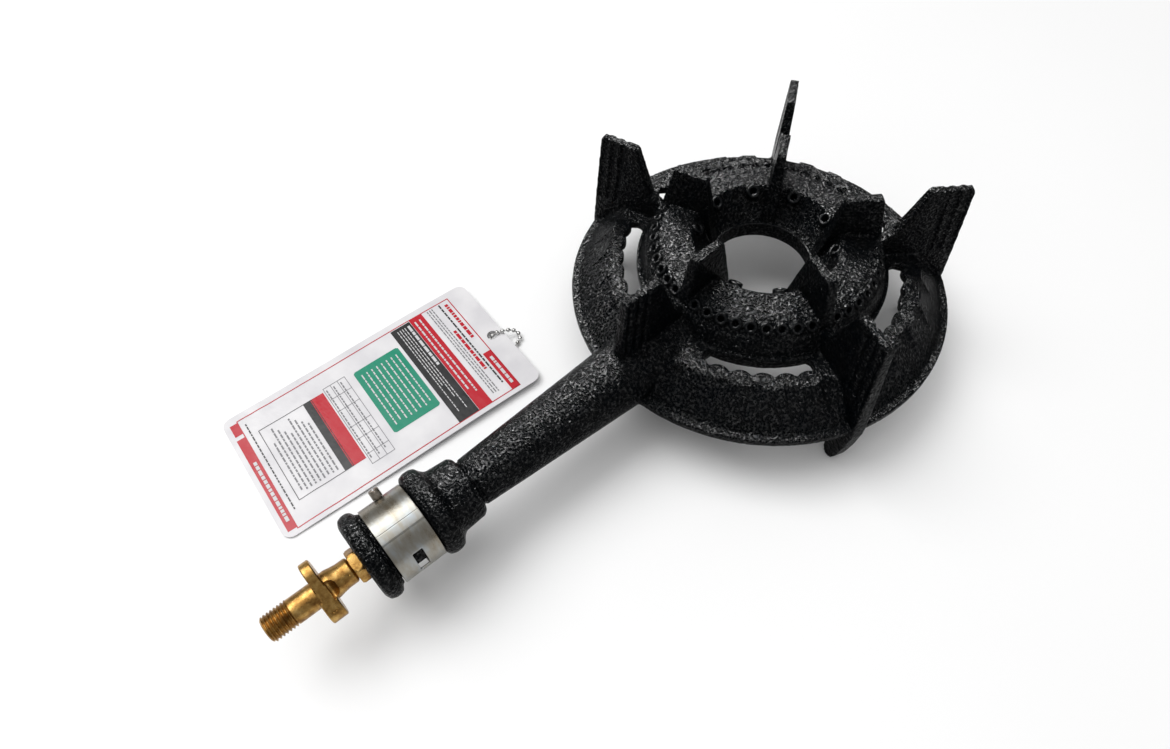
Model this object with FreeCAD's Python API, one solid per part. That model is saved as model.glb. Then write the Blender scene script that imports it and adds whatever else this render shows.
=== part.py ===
"""Propane burner stand: a cast-iron double crown gas ring burner on four legs.

Frame: the origin is on the floor, under the centre of the burner ring.
+Z is up, and the mixing tube runs out along -X. Lengths are in millimetres.
"""
import FreeCAD, Part
import math
import os

V = FreeCAD.Vector

# crown layout: five webs, the first one over the mixing tube
SECTORS = 5
PITCH = 360.0 / SECTORS
FIRST_AZ = 180.0

# outer skirt of the casting
RIM_R = 95.0
RIM_Z = 30.5
RIM_H = 4.0
LIP_R = 77.5
LIP_Z = 50.7
PLATE_T = 4.3
SKIRT_STEP = 3.5
DENTS = 6
DENT_PITCH = 12.0
DENT_W = 8.8
DENT_STEP = 2.2
DENT_TIP_R = 91.0
DENT_TIP_Z = 35.3

# arc slots for air between the ring and the lip
AIR_IN_R = 61.8
AIR_OUT_R = 70.4
AIR_END = 8.0
AIR_TUBE_END = 20.0
LOBES = 7
LOBE_PITCH = 8.1
LOBE_R = 6.2
LOBE_C_R = 74.4

# hollow burner ring
RING_R = 58.4
RING_Z = 39.5
WAIST_R = 57.2
WAIST_Z = 58.6
HOLE_R = 24.4
HOLE_Z = 50.0
HOLE_LIP = 7.6
CREST_R = 36.0
CREST_Z = 67.0
PORTS = 9
PORT_PITCH = 7.34
PORT_C_R = 54.2
PORT_C_Z = 64.2
PORT_D = 2.8
BOSS_D = 6.1
NOZZLE_R = 33.0
NOZZLE_Z = 64.9
NOZZLE_TILT = 50.0
NOZZLE_SPREAD = 36.0
NOZZLE_D = 6.9
NOZZLE_HOLE_D = 2.8

# pot supports
OUT_TOP_Z = 89.7
OUT_IN_R = 71.6
OUT_OUT_R = 91.4
IN_TOP_Z = 87.2
IN_IN_R = 33.9
IN_OUT_R = 50.9
WEB_TOP_T = 4.2
WEB_LOW_T = 6.4
FLUTE_R = 1.6
FLUTE_DEPTH = 0.7
FLUTE_GAP = 5.0
FOOT_R = 88.5
LEG_R = 96.4

# mixing tube and air chamber, on an axis parallel to X
AXIS_Z = 37.5
TUBE_END_X = -178.5
TUBE_END_R = 11.7
TUBE_SLOPE = 0.0524
TUBE_TIP_X = -34.0
TUBE_WALL = 3.3
BELL_R = 15.2
FLANGE_R = 20.4
FLANGE_X = -204.4
FLANGE_T = 9.4
CAP_STEP_X = -225.1
CAP_STEP_R = 17.4
CAP_X = -226.4
CAP_R = 20.4
CAP_T = 8.0
CAP_HOLE_R = 5.1
CAGE_R = 16.6
CAGE_T = 2.8
CAGE_ANGLE = 172.0

# rolled steel air shutter
SHUTTER_R = 17.8
SHUTTER_T = 0.9
SHUTTER_X0 = -204.8
SHUTTER_X1 = -224.7
SLOT_W = 4.6
SLOT_ARC = 40.0
SLOT_FIRST = 169.0
SLOT_STEP = 60.0
SLOTS = 4
SEAM_AZ = 102.0
SCREW_AZ = 37.0
SCREW_X = -214.6

# brass fittings
STUB_R = 4.8
NUT_AF = 14.0
NUT_T = 4.0
NECK_R = 5.75
EAR_X = -250.6
EAR_T = 4.5
EAR_SPAN = 28.4
EAR_AZ = 43.0
EAR_R = 6.0
DIMPLE_R = 0.6
INLET_R = 6.0
THREAD_X = -266.5
END_X = -277.8
GAS_BORE_R = 2.9
JET_R = 3.6

# loose hang tag and its bead chain, lying on the floor
TAG_X0 = -256.0
TAG_X1 = -107.5
TAG_Y0 = 43.5
TAG_Y1 = 124.5
TAG_T = 0.6
TAG_CORNER = 5.0
TAG_TURN = 2.7
TAG_LIFT = 3.3
TAG_HOLE = V(-113.5, 82.5, 0.0)
TAG_HOLE_R = 3.0
BEAD_R = 1.2
BEAD_PITCH = 3.1
COUPLING_R = 1.5
COUPLING_L = 8.0


def azimuth(k):
    """Azimuth of web k, in degrees, counted clockwise seen from above."""
    return FIRST_AZ - PITCH * k


def turned(shape, degrees):
    """A copy turned about the vertical axis."""
    out = shape.copy()
    out.rotate(V(0, 0, 0), V(0, 0, 1), degrees)
    return out


def polar(r, degrees, z):
    a = math.radians(degrees)
    return V(r * math.cos(a), r * math.sin(a), z)


def lathe(points, degrees=360.0, start=0.0):
    """Turn a closed (r, z) outline about the vertical axis."""
    wire = Part.makePolygon([V(r, 0, z) for r, z in points + points[:1]])
    body = Part.Face(wire).revolve(V(0, 0, 0), V(0, 0, 1), degrees)
    return turned(body, start)


def lathe_x(points):
    """Turn a closed (x, r) outline about the mixing tube's axis."""
    wire = Part.makePolygon([V(x, 0, AXIS_Z + r) for x, r in points + points[:1]])
    return Part.Face(wire).revolve(V(0, 0, AXIS_Z), V(1, 0, 0), 360.0)


def rod_x(radius, x0, x1):
    return Part.makeCylinder(radius, x0 - x1, V(x1, 0, AXIS_Z), V(1, 0, 0))


def cross(radius, degrees, x):
    """A point at an angle round the mixing tube, from +Y towards +Z."""
    a = math.radians(degrees)
    return V(x, radius * math.cos(a), AXIS_Z + radius * math.sin(a))


def web(outline, low_z, top_z):
    """A radial plate along +X whose thickness tapers from foot to top."""
    wire = Part.makePolygon([V(r, -12.0, z) for r, z in outline + outline[:1]])
    plate = Part.Face(wire).extrude(V(0, 24.0, 0))
    low = WEB_LOW_T / 2.0
    top = WEB_TOP_T / 2.0
    side = [V(0, -low, low_z - 60.0), V(0, low, low_z - 60.0), V(0, low, low_z)]
    side += [V(0, top, top_z + 1.0), V(0, -top, top_z + 1.0), V(0, -low, low_z)]
    wedge = Part.Face(Part.makePolygon(side + side[:1])).extrude(V(120.0, 0, 0))
    return plate.common(wedge)


def tube_radius(x):
    return TUBE_END_R + TUBE_SLOPE * (x - TUBE_END_X)


def ring_outline():
    """Outside of the ring: hole, bead, bowl, crest, shoulder, wall, flange."""
    base = [(HOLE_R, HOLE_Z - HOLE_LIP), (HOLE_R, HOLE_Z + 0.4)]
    base += [(HOLE_R + 1.1, HOLE_Z + 0.4), (HOLE_R + 1.5, HOLE_Z)]
    base += [(HOLE_R + 3.8, HOLE_Z + 3.2), (HOLE_R + 7.0, HOLE_Z + 8.6)]
    base += [(CREST_R - 2.2, CREST_Z - 3.5), (CREST_R - 0.9, CREST_Z - 0.5)]
    base += [(CREST_R, CREST_Z), (CREST_R + 1.0, CREST_Z)]
    base += [(PORT_C_R - 5.0, PORT_C_Z + 1.5), (PORT_C_R - 2.2, PORT_C_Z + 0.2)]
    base += [(PORT_C_R + 0.8, PORT_C_Z - 2.8), (WAIST_R, WAIST_Z)]
    base += [(AIR_IN_R - 1.2, LIP_Z), (AIR_IN_R, LIP_Z)]
    base += [(AIR_IN_R, LIP_Z - PLATE_T), (RING_R + 0.6, LIP_Z - 6.1)]
    base += [(RING_R, RING_Z), (HOLE_R + 4.8, RING_Z)]
    return base


def ring_chamber():
    """The gas space inside the ring, about 3 mm under its skin."""
    low = RING_Z + 3.0
    outline = [(HOLE_R + 4.4, low), (HOLE_R + 4.4, HOLE_Z - 1.4)]
    outline += [(HOLE_R + 10.5, HOLE_Z + 7.5), (CREST_R + 1.6, CREST_Z - 3.8)]
    outline += [(PORT_C_R - 5.4, PORT_C_Z - 2.0), (PORT_C_R - 3.0, PORT_C_Z - 3.2)]
    outline += [(PORT_C_R - 0.8, PORT_C_Z - 5.8), (AIR_IN_R - 5.2, LIP_Z)]
    outline += [(RING_R - 3.0, low)]
    return lathe(outline)


def port_angles():
    angles = []
    for k in range(SECTORS):
        middle = azimuth(k + 0.5)
        for i in range(PORTS):
            angles.append(middle + (i - (PORTS - 1) / 2.0) * PORT_PITCH)
    return angles


def port_rod(degrees, diameter, inward, outward):
    """A cylinder along a flame port, which points out and up at 45 degrees."""
    s = math.sqrt(0.5)
    start = polar(PORT_C_R - inward * s, degrees, PORT_C_Z - inward * s)
    line = polar(s, degrees, s)
    return Part.makeCylinder(diameter / 2.0, inward + outward, start, line)


def nozzle_rod(degrees, diameter, inward, outward):
    """A cylinder along an inner jet, which points up towards the middle."""
    c = math.cos(math.radians(NOZZLE_TILT))
    s = math.sin(math.radians(NOZZLE_TILT))
    start = polar(NOZZLE_R + inward * c, degrees, NOZZLE_Z - inward * s)
    line = polar(-c, degrees, s)
    return Part.makeCylinder(diameter / 2.0, inward + outward, start, line)


def nozzle_angles():
    angles = []
    for k in range(SECTORS):
        middle = azimuth(k + 0.5)
        angles.append(middle - NOZZLE_SPREAD / 2.0)
        angles.append(middle + NOZZLE_SPREAD / 2.0)
    return angles


def tube_outer():
    x0 = TUBE_TIP_X
    x1 = TUBE_END_X
    return lathe_x([(x0, 0.0), (x0, tube_radius(x0) - 2.0),
                    (x0 - 2.0, tube_radius(x0 - 2.0)), (x1, TUBE_END_R), (x1, 0.0)])


def tube_bore():
    x0 = TUBE_TIP_X - 3.0
    x1 = TUBE_END_X - 1.0
    return lathe_x([(x0, 0.0), (x0, tube_radius(x0) - TUBE_WALL),
                    (x1, tube_radius(x1) - TUBE_WALL), (x1, 0.0)])


def burner_ring():
    body = lathe(ring_outline())
    bosses = [port_rod(a, BOSS_D, 3.2, 0.0) for a in port_angles()]
    bosses += [nozzle_rod(a, NOZZLE_D, 4.4, 0.0) for a in nozzle_angles()]
    body = body.fuse(bosses)
    holes = [port_rod(a, PORT_D, 7.0, 2.0) for a in port_angles()]
    holes += [nozzle_rod(a, NOZZLE_HOLE_D, 8.0, 2.0) for a in nozzle_angles()]
    holes.append(ring_chamber())
    holes.append(tube_bore())
    return body.cut(holes)


def skirt_outline():
    low = LIP_Z - PLATE_T
    outline = [(RIM_R, RIM_Z), (RIM_R, RIM_Z + RIM_H)]
    outline += [(RIM_R - SKIRT_STEP, RIM_Z + RIM_H), (LIP_R, LIP_Z - 0.8)]
    outline += [(LIP_R - 0.5, LIP_Z), (AIR_IN_R, LIP_Z), (AIR_IN_R, low)]
    outline += [(LIP_R - 5.0, low), (RIM_R - 7.4, RIM_Z + 2.0)]
    outline += [(RIM_R - 7.4, RIM_Z)]
    return outline


def dent(degrees):
    """A wedge that hollows the cone: deepest at the lip, nothing at its tip."""
    tip = polar(DENT_TIP_R, degrees, DENT_TIP_Z)
    head = polar(LIP_R - DENT_STEP, degrees, LIP_Z)
    head = head + (head - tip) * 0.1
    side = polar(DENT_W * 0.55, degrees + 90.0, 0.0)
    face = Part.Face(Part.makePolygon([tip, head + side, head - side, tip]))
    out = (tip - head).cross(side).normalize()
    return face.extrude(out * 8.0)


def air_slot(low, high):
    """An arc slot with round ends and lobes along its outer edge."""
    floor = LIP_Z - 10.0
    top = LIP_Z + 10.0
    half = (AIR_OUT_R - AIR_IN_R) / 2.0
    middle = AIR_IN_R + half
    inset = math.degrees(half / middle)
    outline = [(AIR_IN_R - 1.0, floor), (AIR_OUT_R, floor)]
    outline += [(AIR_OUT_R, top), (AIR_IN_R - 1.0, top)]
    band = lathe(outline, high - low - 2.0 * inset, low + inset)
    ends = []
    for a in (low + inset, high - inset):
        ends.append(Part.makeCylinder(half, top - floor, polar(middle, a, floor)))
    lobes = []
    for i in range(LOBES):
        a = (i - (LOBES - 1) / 2.0) * LOBE_PITCH
        lobes.append(Part.makeCylinder(LOBE_R, top - floor, polar(LOBE_C_R, a, floor)))
    return band.fuse(ends).cut(lobes)


def skirt_sector(low, high):
    """One fifth of the skirt, centred on azimuth 0, with its slot between angles."""
    half = PITCH / 2.0
    body = lathe(skirt_outline(), PITCH, -half)
    cuts = [air_slot(low, high)]
    for i in range(DENTS):
        cuts.append(dent((i - (DENTS - 1) / 2.0) * DENT_PITCH))
    gap = WEB_LOW_T / 2.0
    for sign in (-1, 1):
        slab = Part.makeBox(120.0, 2.0 * gap, 120.0, V(0, -gap, 0))
        cuts.append(turned(slab, sign * half))
    return body.cut(cuts)


def skirt_segment(k, tube):
    low = AIR_END - PITCH / 2.0
    high = -low
    if k == 0:
        high = PITCH / 2.0 - AIR_TUBE_END
    if k == SECTORS - 1:
        low = AIR_TUBE_END - PITCH / 2.0
    body = turned(skirt_sector(low, high), azimuth(k + 0.5))
    if k in (0, SECTORS - 1):
        body = body.cut(tube)
    return biggest(body)


def biggest(shape):
    """The largest solid, which drops crumbs left beside the tube."""
    best = shape.Solids[0]
    for solid in shape.Solids:
        if solid.Volume > best.Volume:
            best = solid
    return best


def outer_outline(with_leg):
    top = [(OUT_IN_R + 0.8, OUT_TOP_Z), (OUT_OUT_R - 1.6, OUT_TOP_Z)]
    top += [(OUT_OUT_R - 0.2, OUT_TOP_Z - 0.6), (OUT_OUT_R + 0.4, OUT_TOP_Z - 2.0)]
    if with_leg:
        low = [(LEG_R, 34.0), (LEG_R, 29.0), (95.0, 17.0), (92.6, 5.0)]
        low += [(91.2, 1.8), (89.9, 0.5), (FOOT_R + 0.6, 0.0)]
        low += [(FOOT_R - 1.6, 0.0), (85.6, 0.9), (84.4, 3.2)]
        low += [(83.4, 12.0), (82.6, 26.0), (76.0, 36.0), (64.0, 41.5)]
    else:
        low = [(LEG_R, 36.0), (60.0, 36.0)]
    inner = [(50.0, 41.5), (50.0, 60.0), (57.0, 60.6), (62.6, 64.4)]
    inner += [(OUT_IN_R - 0.2, OUT_TOP_Z - 1.0)]
    return top + low + inner


def flutes():
    """Three upright grooves on each face of an outer support, near +X."""
    rods = []
    lean = (LEG_R - OUT_OUT_R) / (OUT_TOP_Z - 34.0)
    taper = (WEB_LOW_T - WEB_TOP_T) / 2.0 / (OUT_TOP_Z - LIP_Z)
    for i in range(3):
        for side in (-1, 1):
            half = WEB_TOP_T / 2.0 - FLUTE_DEPTH + FLUTE_R
            start = V(OUT_OUT_R - 2.4 - i * FLUTE_GAP, side * half, OUT_TOP_Z)
            line = V(lean, side * taper, -1.0)
            start = start - line * 2.0
            rods.append(Part.makeCylinder(FLUTE_R, 40.0, start, line))
    return rods


def outer_support(k, envelope, tube):
    body = web(outer_outline(k > 0), LIP_Z, OUT_TOP_Z)
    body = body.cut(flutes())
    body = turned(body, azimuth(k)).cut(envelope)
    if k == 0:
        body = body.cut(tube)
    return biggest(body)


def inner_support(k, envelope):
    outline = [(IN_IN_R + 0.9, IN_TOP_Z), (IN_OUT_R - 0.9, IN_TOP_Z)]
    outline += [(IN_OUT_R + 0.1, IN_TOP_Z - 0.9), (IN_OUT_R + 4.9, 63.0)]
    outline += [(IN_OUT_R + 2.0, 58.0), (36.0, 58.0), (HOLE_R + 0.9, 50.6)]
    outline += [(IN_IN_R - 0.3, IN_TOP_Z - 0.9)]
    body = web(outline, CREST_Z - 4.0, IN_TOP_Z)
    pad = Part.makeBox(30.0, 12.0, 60.0, V(45.4, -6.0, 50.0))
    wide = web(outline, IN_TOP_Z, IN_TOP_Z + 20.0).common(pad)
    shave = Part.makeBox(30.0, WEB_TOP_T + 0.9, 60.0, V(45.0, -WEB_TOP_T / 2.0 - 0.45, 50.0))
    body = body.fuse(wide.common(shave))
    return biggest(turned(body, azimuth(k)).cut(envelope))


def mixing_tube(envelope):
    return biggest(tube_outer().cut([tube_bore(), envelope]))


def bell_collar():
    x0 = TUBE_END_X
    back = FLANGE_X + FLANGE_T
    groove = TUBE_END_R - 0.8
    outline = [(x0, groove - 3.0), (x0, groove), (x0 - 1.6, groove)]
    outline += [(x0 - 2.2, BELL_R - 1.6), (x0 - 4.0, BELL_R - 0.3)]
    outline += [(back + 2.4, BELL_R + 0.4), (back + 0.8, BELL_R + 1.6)]
    outline += [(back, FLANGE_R - 2.6), (back - 1.2, FLANGE_R - 0.8)]
    outline += [(back - 3.2, FLANGE_R), (FLANGE_X + 3.2, FLANGE_R)]
    outline += [(FLANGE_X + 1.0, FLANGE_R - 0.9), (FLANGE_X, FLANGE_R - 2.6)]
    outline += [(FLANGE_X, CAGE_R - CAGE_T), (back, CAGE_R - CAGE_T - 0.8)]
    outline += [(x0 - 6.0, groove - 3.0)]
    return lathe_x(outline)


def arc_shell(outer, inner, x0, x1, centre, span):
    """A length of pipe wall that covers only part of the turn."""
    wire = [V(x0, 0, AXIS_Z + inner), V(x0, 0, AXIS_Z + outer)]
    wire += [V(x1, 0, AXIS_Z + outer), V(x1, 0, AXIS_Z + inner)]
    face = Part.Face(Part.makePolygon(wire + wire[:1]))
    body = face.revolve(V(0, 0, AXIS_Z), V(1, 0, 0), span)
    body.rotate(V(0, 0, AXIS_Z), V(1, 0, 0), centre - 90.0 - span / 2.0)
    return body


def shutter_cage():
    """The closed upper wall of the air chamber."""
    inner = CAGE_R - CAGE_T
    return arc_shell(CAGE_R, inner, FLANGE_X, CAP_STEP_X, 90.0, CAGE_ANGLE)


def cage_web():
    """The narrow web along the chamber's underside."""
    inner = CAGE_R - CAGE_T
    return arc_shell(CAGE_R, inner, FLANGE_X, CAP_STEP_X, 270.0, 16.0)


def end_cap():
    back = CAP_X - CAP_T
    outline = [(CAP_STEP_X, CAP_HOLE_R), (CAP_STEP_X, CAP_STEP_R)]
    outline += [(CAP_X, CAP_STEP_R), (CAP_X, CAP_R - 2.2), (CAP_X - 0.8, CAP_R - 0.8)]
    outline += [(CAP_X - 2.4, CAP_R), (back + 3.4, CAP_R), (back + 1.2, CAP_R - 0.9)]
    outline += [(back, CAP_R - 3.4), (back, 15.0), (back + 0.8, 13.6)]
    outline += [(back + 0.8, 10.0), (back, 9.2), (back, CAP_HOLE_R)]
    return lathe_x(outline)


def air_shutter():
    inner = SHUTTER_R - SHUTTER_T
    sleeve = rod_x(SHUTTER_R, SHUTTER_X0, SHUTTER_X1)
    lap = arc_shell(SHUTTER_R + 0.5, inner, SHUTTER_X0, SHUTTER_X1, SEAM_AZ + 7.0, 14.0)
    sleeve = sleeve.fuse(lap)
    cuts = [rod_x(inner, SHUTTER_X0 + 1.0, SHUTTER_X1 - 1.0)]
    middle = (SHUTTER_X0 + SHUTTER_X1) / 2.0
    for i in range(SLOTS):
        a = SLOT_FIRST + i * SLOT_STEP
        x0 = middle + SLOT_W / 2.0
        cuts.append(arc_shell(SHUTTER_R + 3.0, 10.0, x0, x0 - SLOT_W, a, SLOT_ARC))
    start = cross(8.0, SCREW_AZ, SCREW_X)
    line = cross(1.0, SCREW_AZ, 0.0) - V(0, 0, AXIS_Z)
    cuts.append(Part.makeCylinder(1.55, 14.0, start, line))
    return sleeve.cut(cuts)


def shutter_screw():
    line = cross(1.0, SCREW_AZ, 0.0) - V(0, 0, AXIS_Z)
    shank = Part.makeCylinder(1.5, SHUTTER_R + 2.0 - CAGE_R, cross(CAGE_R + 0.3, SCREW_AZ, SCREW_X), line)
    head = Part.makeCylinder(2.3, 4.2, cross(SHUTTER_R + 0.3, SCREW_AZ, SCREW_X), line)
    head = head.makeFillet(0.5, [e for e in head.Edges if e.Length > 10.0][:1])
    slot = Part.makeBox(0.7, 6.0, 1.0, V(-0.35, -3.0, 0))
    slot.Placement = FreeCAD.Placement(cross(SHUTTER_R + 3.7, SCREW_AZ, SCREW_X),
                                       FreeCAD.Rotation(V(0, 0, 1), line))
    return shank.fuse(head).cut(slot)


def lock_nut():
    back = CAP_X - CAP_T
    corner = NUT_AF / math.sqrt(3.0)
    points = []
    for i in range(6):
        points.append(cross(corner, 60.0 * i + 13.0, back - NUT_T))
    hexagon = Part.Face(Part.makePolygon(points + points[:1])).extrude(V(NUT_T, 0, 0))
    full = corner + 0.3
    edge = lathe_x([(back, 0.0), (back, full), (back - NUT_T + 1.0, full),
                    (back - NUT_T, full - 1.7), (back - NUT_T, 0.0)])
    return hexagon.common(edge).cut(rod_x(STUB_R, back + 1.0, back - NUT_T - 1.0))


def ear_flange():
    """The forged bar behind the thread: two round-ended ears, one thicker."""
    x0 = EAR_X
    line = cross(1.0, EAR_AZ, 0.0) - V(0, 0, AXIS_Z)
    side = cross(1.0, EAR_AZ + 90.0, 0.0) - V(0, 0, AXIS_Z)
    reach = EAR_SPAN / 2.0 - EAR_R
    parts = []
    for sign in (-1, 1):
        at = V(x0 - EAR_T, 0, AXIS_Z) + line * (sign * reach)
        parts.append(Part.makeCylinder(EAR_R, EAR_T, at, V(1, 0, 0)))
    corners = []
    for u, w in ((-reach, -EAR_R), (reach, -EAR_R), (reach, EAR_R), (-reach, EAR_R)):
        corners.append(V(x0, 0, AXIS_Z) + line * u + side * w)
    bar = Part.Face(Part.makePolygon(corners + corners[:1])).extrude(V(-EAR_T, 0, 0))
    low = V(x0 - EAR_T - 1.4, 0, AXIS_Z) - line * reach
    parts.append(Part.makeCylinder(EAR_R, EAR_T + 2.4, low, V(1, 0, 0)))
    dimples = []
    face = low + V(EAR_T / 2.0, 0, 0) + side * EAR_R
    for sign in (-1, 1):
        dimples.append(Part.makeSphere(DIMPLE_R, face + V(sign * 1.0, 0, 0)))
    return bar.fuse(parts).cut(dimples)


def gas_inlet():
    back = CAP_X - CAP_T - NUT_T
    chamfer = 0.9
    outline = [(CAP_STEP_X + 4.0, GAS_BORE_R), (CAP_STEP_X + 4.0, STUB_R)]
    outline += [(back, STUB_R), (back, NECK_R), (EAR_X + 3.4, NECK_R)]
    outline += [(EAR_X, NECK_R + 1.6), (EAR_X - EAR_T, NECK_R + 1.6)]
    outline += [(EAR_X - EAR_T - 1.2, NECK_R), (THREAD_X, NECK_R)]
    outline += [(THREAD_X, INLET_R), (END_X + chamfer, INLET_R)]
    outline += [(END_X, INLET_R - chamfer), (END_X, GAS_BORE_R)]
    body = lathe_x(outline).fuse(ear_flange())
    return body.cut(rod_x(GAS_BORE_R, CAP_STEP_X + 6.0, END_X - 1.0))


def injector_jet():
    x0 = CAP_STEP_X + 4.0
    outline = [(x0 - 6.0, 0.9), (x0 - 6.0, GAS_BORE_R), (x0, GAS_BORE_R)]
    outline += [(x0, JET_R + 0.7), (x0 + 3.4, JET_R + 0.7), (x0 + 3.4, JET_R - 0.6)]
    outline += [(x0 + 7.0, 1.9), (x0 + 7.0, 0.5), (x0 + 2.0, 0.5), (x0 + 1.0, 0.9)]
    return lathe_x(outline)


def tag_height(x):
    """Height of the tag's underside: it rests on the chain at its +X end."""
    t = (x - TAG_X0) / (TAG_X1 - 22.0 - TAG_X0)
    t = max(0.0, min(1.0, t))
    return TAG_LIFT * t * t * (3.0 - 2.0 * t)


def hang_tag():
    steps = 12
    low = []
    high = []
    for i in range(steps + 1):
        x = TAG_X0 + (TAG_X1 - TAG_X0) * i / steps
        low.append(V(x, TAG_Y0, tag_height(x)))
        high.append(V(x, TAG_Y0, tag_height(x) + TAG_T))
    under = Part.BSplineCurve()
    under.interpolate(low)
    over = Part.BSplineCurve()
    over.interpolate(high)
    ends = [Part.makeLine(low[0], high[0]), Part.makeLine(low[-1], high[-1])]
    wire = Part.Wire(Part.__sortEdges__([under.toShape(), over.toShape()] + ends))
    sheet = Part.Face(wire).extrude(V(0, TAG_Y1 - TAG_Y0, 0))
    blank = Part.makeBox(TAG_X1 - TAG_X0, TAG_Y1 - TAG_Y0, 20.0, V(TAG_X0, TAG_Y0, -5.0))
    upright = [e for e in blank.Edges if e.BoundBox.ZLength > 19.0]
    blank = blank.makeFillet(TAG_CORNER, upright)
    hole = Part.makeCylinder(TAG_HOLE_R, 20.0, TAG_HOLE - V(0, 0, 5.0))
    tag = sheet.common(blank).cut(hole)
    tag.rotate(TAG_HOLE, V(0, 0, 1), -TAG_TURN)
    return tag


def chain_path():
    """The chain's centre line: through the hole, over the end and back under."""
    top = TAG_LIFT + TAG_T + BEAD_R + 0.15
    low = COUPLING_R + 0.05
    x = TAG_HOLE.x
    y = TAG_HOLE.y
    points = [V(x, y, TAG_LIFT + TAG_T / 2.0), V(x + 1.6, y - 0.6, top - 0.4)]
    points += [V(x + 4.4, y - 1.7, top), V(x + 7.4, y - 3.2, top)]
    points += [V(x + 10.2, y - 4.9, top - 0.6), V(x + 12.1, y - 6.8, top - 2.6)]
    points += [V(x + 11.9, y - 9.4, low + 0.3), V(x + 9.0, y - 11.4, low)]
    points += [V(x + 4.0, y - 13.6, low), V(x - 2.5, y - 15.6, low)]
    points += [V(x - 8.5, y - 14.4, low), V(x - 11.0, y - 9.0, low)]
    points += [V(x - 9.6, y - 3.2, low), V(x - 5.0, y - 0.4, low)]
    points += [V(x - 1.4, y, low + 0.3)]
    curve = Part.BSplineCurve()
    curve.interpolate(points, PeriodicFlag=True)
    return curve


def chain_stations():
    """Bead centres at equal steps along the closed chain."""
    curve = chain_path()
    length = curve.length()
    count = int(length / BEAD_PITCH)
    step = length / count
    places = []
    for i in range(count):
        places.append(curve.value(curve.parameterAtDistance(i * step, curve.FirstParameter)))
    return places


def bead_chain(coupling):
    places = chain_stations()
    pieces = []
    for i, p in enumerate(places):
        q = places[(i + 1) % len(places)]
        pieces.append(Part.makeSphere(BEAD_R, p, q - p))
        pieces.append(Part.makeCylinder(0.45, (q - p).Length, p, q - p))
    chain = pieces[0].fuse(pieces[1:])
    return chain.cut(coupling)


def coupling_axis():
    places = chain_stations()
    best = 0
    for i, p in enumerate(places):
        if p.y < places[best].y:
            best = i
    a = places[best - 1]
    b = places[(best + 1) % len(places)]
    line = (b - a).normalize()
    line.z = 0.0
    return places[best], line


def chain_coupling():
    """The clip that joins the chain's two end beads."""
    middle, line = coupling_axis()
    start = middle - line * (COUPLING_L / 2.0)
    body = Part.makeCylinder(COUPLING_R, COUPLING_L, start, line)
    return body.makeFillet(0.5, [e for e in body.Edges if e.Length > 5.0 and e.Closed])


def save(name, shape):
    shape.exportStep("parts/" + name + ".step")


def main():
    os.makedirs("parts", exist_ok=True)
    envelope = lathe(ring_outline())
    tube = tube_outer()
    save("burner_ring", burner_ring())
    for k in range(SECTORS):
        number = str(k + 1)
        save("skirt_segment_" + number, skirt_segment(k, tube))
        save("outer_support_" + number, outer_support(k, envelope, tube))
        save("inner_support_" + number, inner_support(k, envelope))
    save("mixing_tube", mixing_tube(envelope))
    save("bell_collar", bell_collar())
    save("shutter_cage", shutter_cage())
    save("cage_web", cage_web())
    save("end_cap", end_cap())
    save("air_shutter", air_shutter())
    save("shutter_screw", shutter_screw())
    save("lock_nut", lock_nut())
    save("gas_inlet", gas_inlet())
    save("injector_jet", injector_jet())
    save("hang_tag", hang_tag())
    coupling = chain_coupling()
    save("bead_chain", bead_chain(coupling))
    save("chain_coupling", coupling)


main()
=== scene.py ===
"""Looks of the cast-iron ring burner, built around its CAD frame. Lengths are in metres."""
import math
import random

import bmesh
import bpy
from mathutils import Matrix, Vector, noise as noise_field


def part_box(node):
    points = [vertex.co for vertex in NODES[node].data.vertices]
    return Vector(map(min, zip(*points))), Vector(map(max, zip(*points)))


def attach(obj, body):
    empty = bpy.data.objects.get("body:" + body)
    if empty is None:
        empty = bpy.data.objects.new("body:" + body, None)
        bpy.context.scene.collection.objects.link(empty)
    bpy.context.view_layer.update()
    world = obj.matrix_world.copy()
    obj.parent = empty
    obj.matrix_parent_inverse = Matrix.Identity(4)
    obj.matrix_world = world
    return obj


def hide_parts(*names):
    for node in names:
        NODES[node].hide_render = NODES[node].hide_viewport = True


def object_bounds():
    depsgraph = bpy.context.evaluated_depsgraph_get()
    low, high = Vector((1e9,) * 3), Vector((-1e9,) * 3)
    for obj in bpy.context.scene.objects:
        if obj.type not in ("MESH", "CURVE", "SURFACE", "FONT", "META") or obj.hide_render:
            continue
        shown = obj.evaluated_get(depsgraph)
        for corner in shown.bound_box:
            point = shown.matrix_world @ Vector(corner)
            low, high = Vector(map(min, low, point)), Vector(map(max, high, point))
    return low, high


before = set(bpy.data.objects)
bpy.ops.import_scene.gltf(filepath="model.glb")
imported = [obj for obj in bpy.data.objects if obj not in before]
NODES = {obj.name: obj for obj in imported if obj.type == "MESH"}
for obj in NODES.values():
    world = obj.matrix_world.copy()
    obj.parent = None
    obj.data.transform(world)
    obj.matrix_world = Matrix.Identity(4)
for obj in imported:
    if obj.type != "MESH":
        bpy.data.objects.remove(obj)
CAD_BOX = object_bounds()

MM = 0.001
SECTORS = 5
PITCH = 360.0 / SECTORS

# places read from the frame
AXIS_Z = (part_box("end_cap")[0].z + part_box("end_cap")[1].z) / 2
TUBE_X0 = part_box("mixing_tube")[0].x
CAP_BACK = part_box("end_cap")[0].x
INLET_X0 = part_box("gas_inlet")[0].x
NUT_X0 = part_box("lock_nut")[0].x
TAG_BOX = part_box("hang_tag")


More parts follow.
